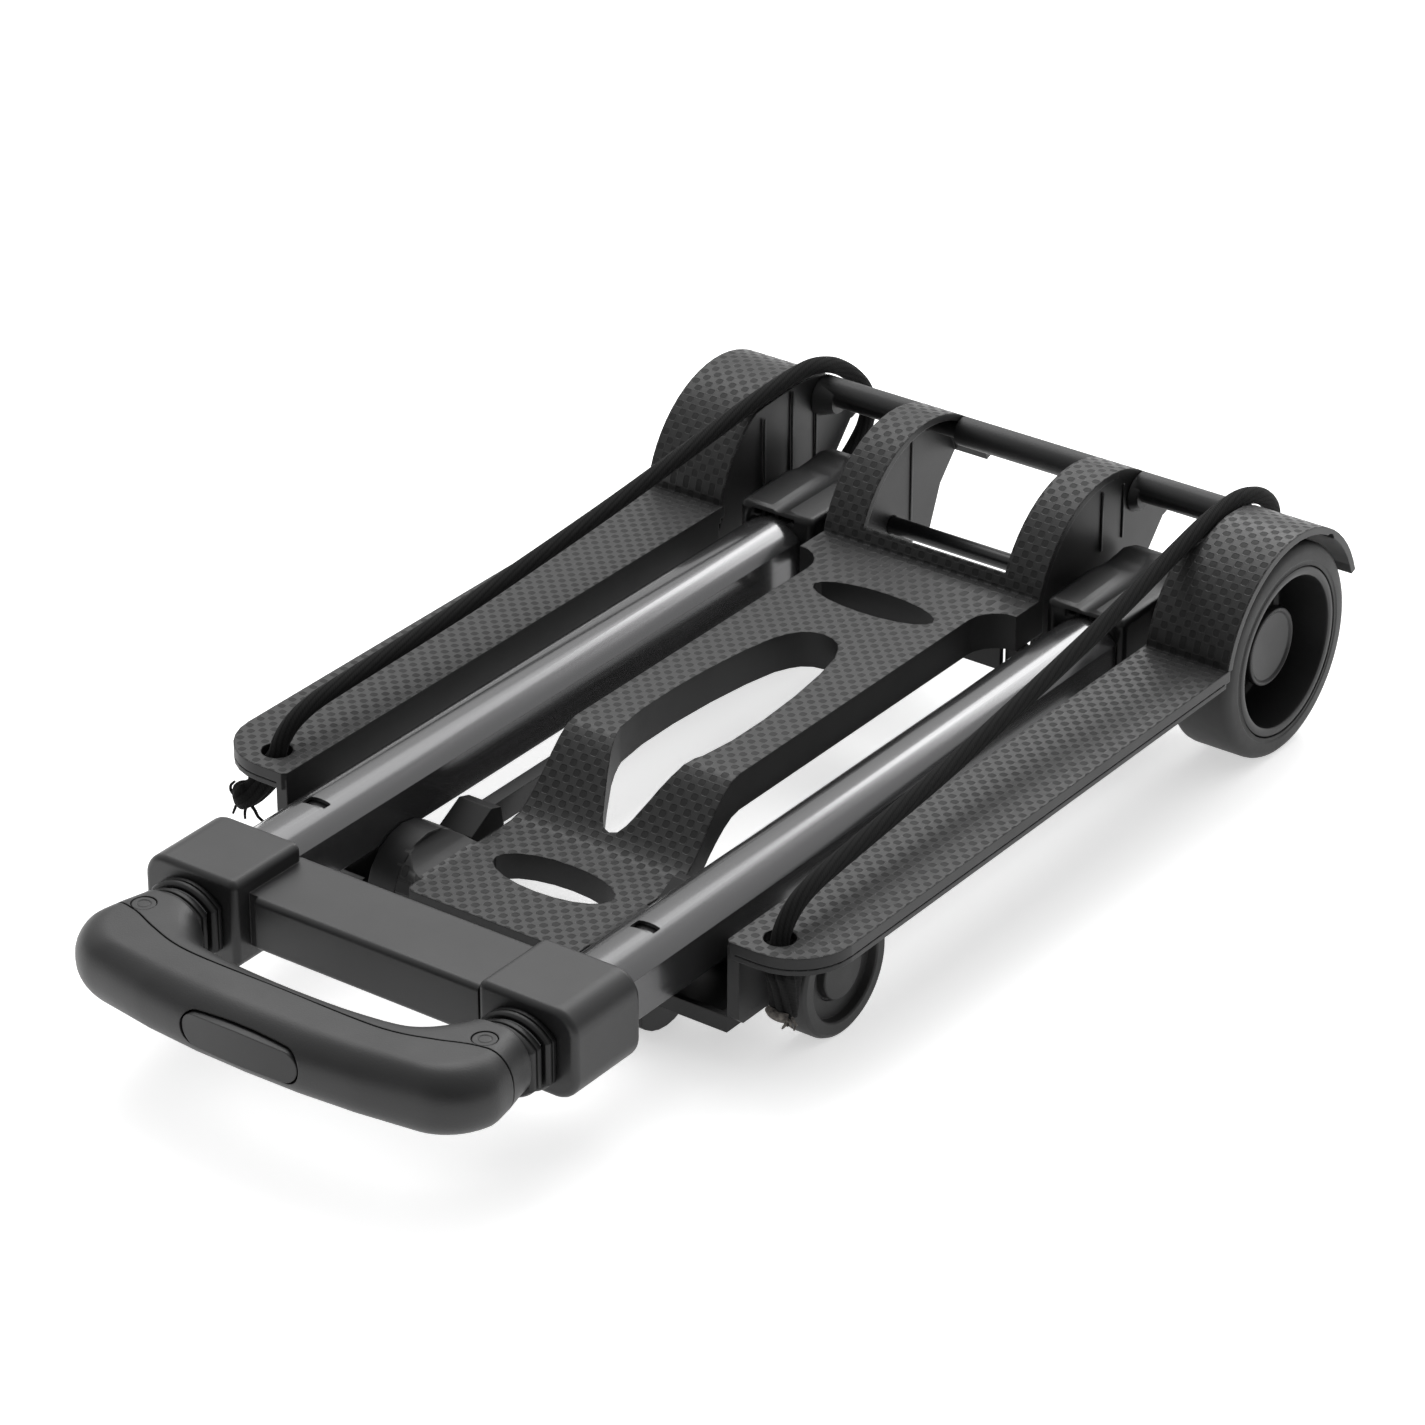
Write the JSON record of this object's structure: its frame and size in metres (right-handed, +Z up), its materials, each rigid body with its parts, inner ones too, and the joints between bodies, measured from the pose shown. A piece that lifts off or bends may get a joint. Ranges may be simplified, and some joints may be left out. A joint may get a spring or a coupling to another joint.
{
  "type": "folding luggage trolley",
  "caption": "Folding luggage trolley, folded flat: carbon-pattern deck on wheels, telescopic twin-tube mast that swings up, bowed grip with release button, elastic cord.",
  "frame": {"origin": "centre of the folded trolley's footprint, on the floor under the wheels", "axes": "+X across the trolley, along the axles; +Y along the folded mast from the grip towards the large rear wheels; +Z up"},
  "size_m": [0.2508, 0.4733, 0.0884],
  "materials": {
    "carbon_pattern_plastic": "satin with a woven-carbon pattern",
    "fine_grain_plastic": "fine grain, satin",
    "smooth_black_plastic": "smooth satin",
    "button_plastic": "satin",
    "black_anodised_tube": "glossy black anodised",
    "matt_black_bar": "matt black coating",
    "steel": "plain bright",
    "tyre_rubber": "matt",
    "rim_plastic": "satin",
    "braided_cord": "braided sheath"
  },
  "bodies": {
    "deck": {"centre_plate": "carbon_pattern_plastic", "rear_crossbar": "matt_black_bar", "rear_axle": "matt_black_bar", "left_wing": "carbon_pattern_plastic", "right_wing": "carbon_pattern_plastic", "left_base_rail": "smooth_black_plastic", "right_base_rail": "smooth_black_plastic", "left_front_link": "smooth_black_plastic", "right_front_link": "smooth_black_plastic", "left_front_pin": "steel", "right_front_pin": "steel", "left_roller_pin": "steel", "right_roller_pin": "steel", "left_cord": "braided_cord", "right_cord": "braided_cord", "left_cord_knot": "braided_cord", "right_cord_knot": "braided_cord", "left_cord_stop": "braided_cord", "right_cord_stop": "braided_cord"},
    "mast": {"left_socket": "smooth_black_plastic", "right_socket": "smooth_black_plastic", "left_outer_tube": "black_anodised_tube", "right_outer_tube": "black_anodised_tube", "cross_housing": "fine_grain_plastic"},
    "middle_stage": {"left_middle_tube": "black_anodised_tube", "right_middle_tube": "black_anodised_tube", "left_middle_collar": "smooth_black_plastic", "right_middle_collar": "smooth_black_plastic", "left_middle_foot": "smooth_black_plastic", "right_middle_foot": "smooth_black_plastic"},
    "middle_pins": {"left_middle_pin": "steel", "right_middle_pin": "steel"},
    "upper_stage": {"left_inner_tube": "black_anodised_tube", "right_inner_tube": "black_anodised_tube", "left_inner_collar": "smooth_black_plastic", "right_inner_collar": "smooth_black_plastic", "left_inner_foot": "smooth_black_plastic", "right_inner_foot": "smooth_black_plastic", "left_grip_plug": "fine_grain_plastic", "right_grip_plug": "fine_grain_plastic", "grip_shell": "fine_grain_plastic", "grip_insert": "fine_grain_plastic", "button_spring": "steel"},
    "lock_pins": {"left_inner_pin": "steel", "right_inner_pin": "steel"},
    "release": {"grip_button": "button_plastic", "release_yoke": "steel", "left_release_rod": "steel", "right_release_rod": "steel"},
    "left_rear_wheel": {"left_rear_tyre": "tyre_rubber", "left_rear_rim": "rim_plastic", "left_hub_cap": "rim_plastic"},
    "left_front_wheel": {"left_front_wheel": "tyre_rubber"},
    "left_roller": {"left_roller": "tyre_rubber"},
    "right_rear_wheel": {"right_rear_tyre": "tyre_rubber", "right_rear_rim": "rim_plastic", "right_hub_cap": "rim_plastic"},
    "right_front_wheel": {"right_front_wheel": "tyre_rubber"},
    "right_roller": {"right_roller": "tyre_rubber"}
  },
  "joints": [
    {"name": "mast_fold", "type": "hinge", "parent": "deck", "child": "mast", "pos_m": [0, 0.18995, 0.04], "axis": [-1, 0, 0], "range_deg": [0, 90]},
    {"name": "middle_stage_slide", "type": "slide", "parent": "mast", "child": "middle_stage", "axis": [0, -1, 0], "range_m": [0, 0.25]},
    {"name": "middle_pins_slide", "type": "slide", "parent": "middle_stage", "child": "middle_pins", "axis": [0, 0, -1], "range_m": [0, 0.0025], "stiffness_N_per_m": 300, "springref_m": -0.003},
    {"name": "upper_stage_slide", "type": "slide", "parent": "middle_stage", "child": "upper_stage", "axis": [0, -1, 0], "range_m": [0, 0.25]},
    {"name": "button_press", "type": "slide", "parent": "upper_stage", "child": "release", "axis": [0, 1, 0], "range_m": [0, 0.004], "stiffness_N_per_m": 500, "springref_m": -0.004, "deforming": ["button_spring"]},
    {"name": "lock_pins_slide", "type": "slide", "parent": "upper_stage", "child": "lock_pins", "axis": [0, 0, -1], "range_m": [0, 0.0025]},
    {"name": "left_rear_wheel_turn", "type": "hinge", "parent": "deck", "child": "left_rear_wheel", "pos_m": [-0.1118, 0.18995, 0.04], "axis": [1, 0, 0], "continuous": true},
    {"name": "left_front_wheel_turn", "type": "hinge", "parent": "deck", "child": "left_front_wheel", "pos_m": [-0.10165, -0.05735, 0.0238], "axis": [1, 0, 0], "continuous": true},
    {"name": "left_roller_turn", "type": "hinge", "parent": "deck", "child": "left_roller", "pos_m": [-0.0508, -0.08375, 0.0164], "axis": [1, 0, 0], "continuous": true},
    {"name": "right_rear_wheel_turn", "type": "hinge", "parent": "deck", "child": "right_rear_wheel", "pos_m": [0.1118, 0.18995, 0.04], "axis": [1, 0, 0], "continuous": true},
    {"name": "right_front_wheel_turn", "type": "hinge", "parent": "deck", "child": "right_front_wheel", "pos_m": [0.10165, -0.05735, 0.0238], "axis": [1, 0, 0], "continuous": true},
    {"name": "right_roller_turn", "type": "hinge", "parent": "deck", "child": "right_roller", "pos_m": [0.0508, -0.08375, 0.0164], "axis": [1, 0, 0], "continuous": true}
  ],
  "couplings": [
    {"joint": "lock_pins_slide", "follows": "button_press", "ratio": 0.625}
  ]
}
